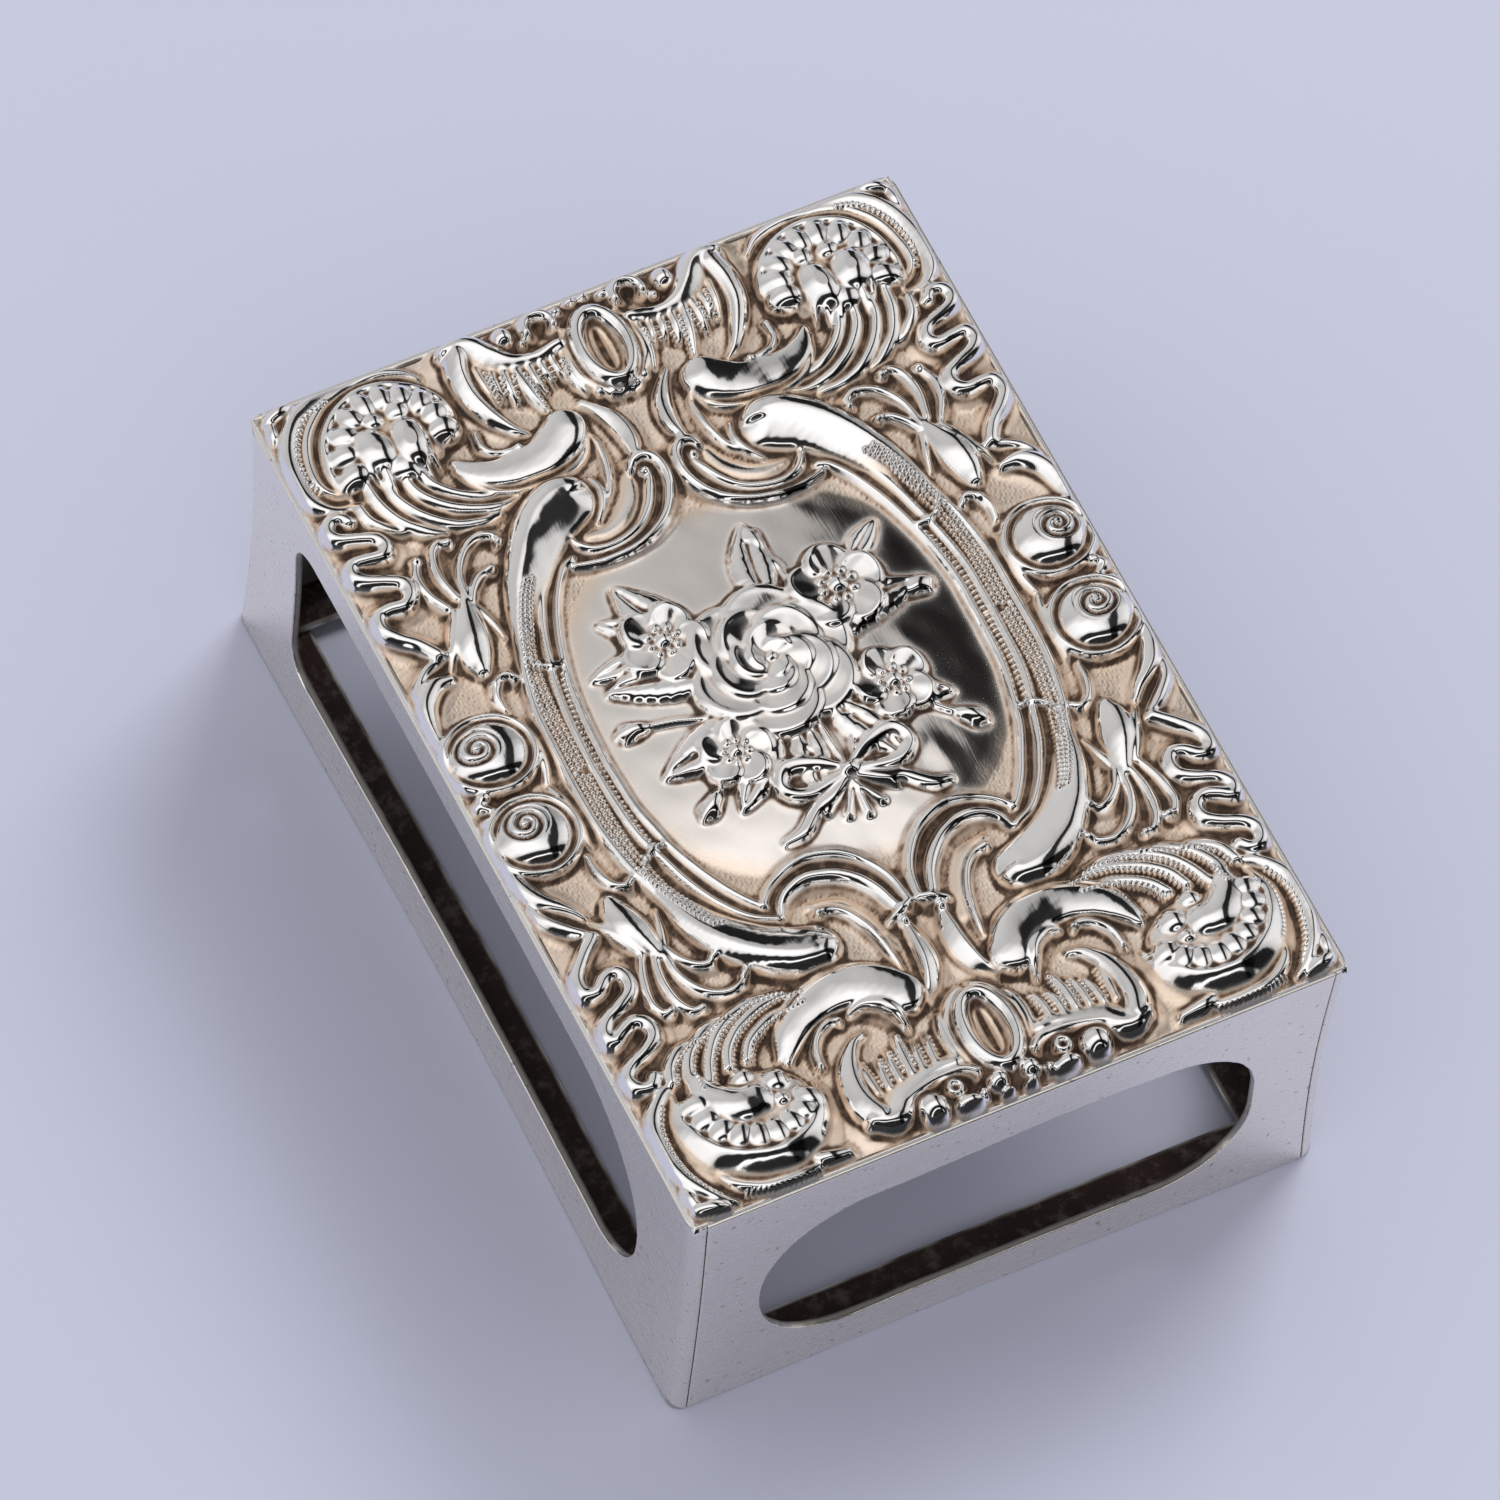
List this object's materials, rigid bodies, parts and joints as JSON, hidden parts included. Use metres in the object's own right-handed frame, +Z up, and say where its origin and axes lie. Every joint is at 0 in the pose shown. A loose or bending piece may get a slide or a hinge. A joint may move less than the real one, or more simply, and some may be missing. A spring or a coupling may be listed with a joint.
{
  "type": "matchbox holder",
  "caption": "Open-bottomed silver box that slips over a small matchbox, with a stamped scroll and bouquet top, windows in every wall and turned-in feet",
  "frame": {"origin": "on the table under the centre of the holder", "axes": "+X across the short side, to the right seen from the near end; +Y along the long side, away from the near end; +Z up through the stamped top"},
  "size_m": [0.0404, 0.057, 0.0228],
  "materials": {
    "stamped_silver": "polished silver relief over a warm tarnished ground",
    "wall_silver": "satin silver sheet with fine wear",
    "solder": "dark tarnished silver solder"
  },
  "bodies": {
    "root": {"top_plate": "stamped_silver", "side_wall_left": "wall_silver", "side_wall_right": "wall_silver", "end_wall_front": "wall_silver", "end_wall_rear": "wall_silver", "corner_solder": "solder", "rim_solder": "solder"}
  },
  "joints": []
}
